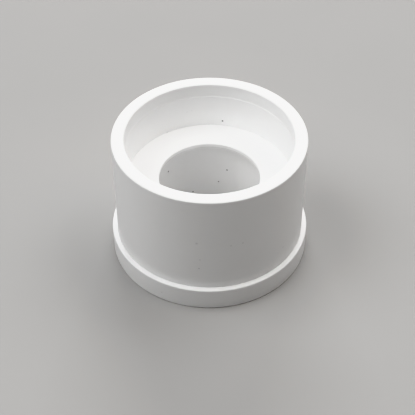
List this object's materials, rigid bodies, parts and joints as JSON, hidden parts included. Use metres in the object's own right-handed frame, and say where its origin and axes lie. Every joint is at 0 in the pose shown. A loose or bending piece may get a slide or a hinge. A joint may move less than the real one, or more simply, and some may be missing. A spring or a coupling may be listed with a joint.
{
  "type": "reducing bush",
  "caption": "Concentric reducing bush in white PVC-U: plain spigot with a stop collar, stepped down inside to a smaller cemented pipe socket.",
  "frame": {"origin": "on the axis, at the base that the stop collar stands on", "axes": "+Z along the axis from the small pipe's socket mouth to the spigot's rim"},
  "size_m": [0.0666, 0.0666, 0.0452],
  "materials": {
    "pvc_sleeve": "moulded white unplasticised PVC, soft gloss",
    "pvc_collar": "moulded white unplasticised PVC, soft gloss",
    "pvc_web": "moulded white unplasticised PVC, soft gloss",
    "pvc_hub": "moulded white unplasticised PVC, soft gloss"
  },
  "bodies": {
    "root": {"spigot_sleeve": "pvc_sleeve", "stop_collar": "pvc_collar", "reducing_web": "pvc_web", "socket_hub": "pvc_hub"}
  },
  "joints": []
}
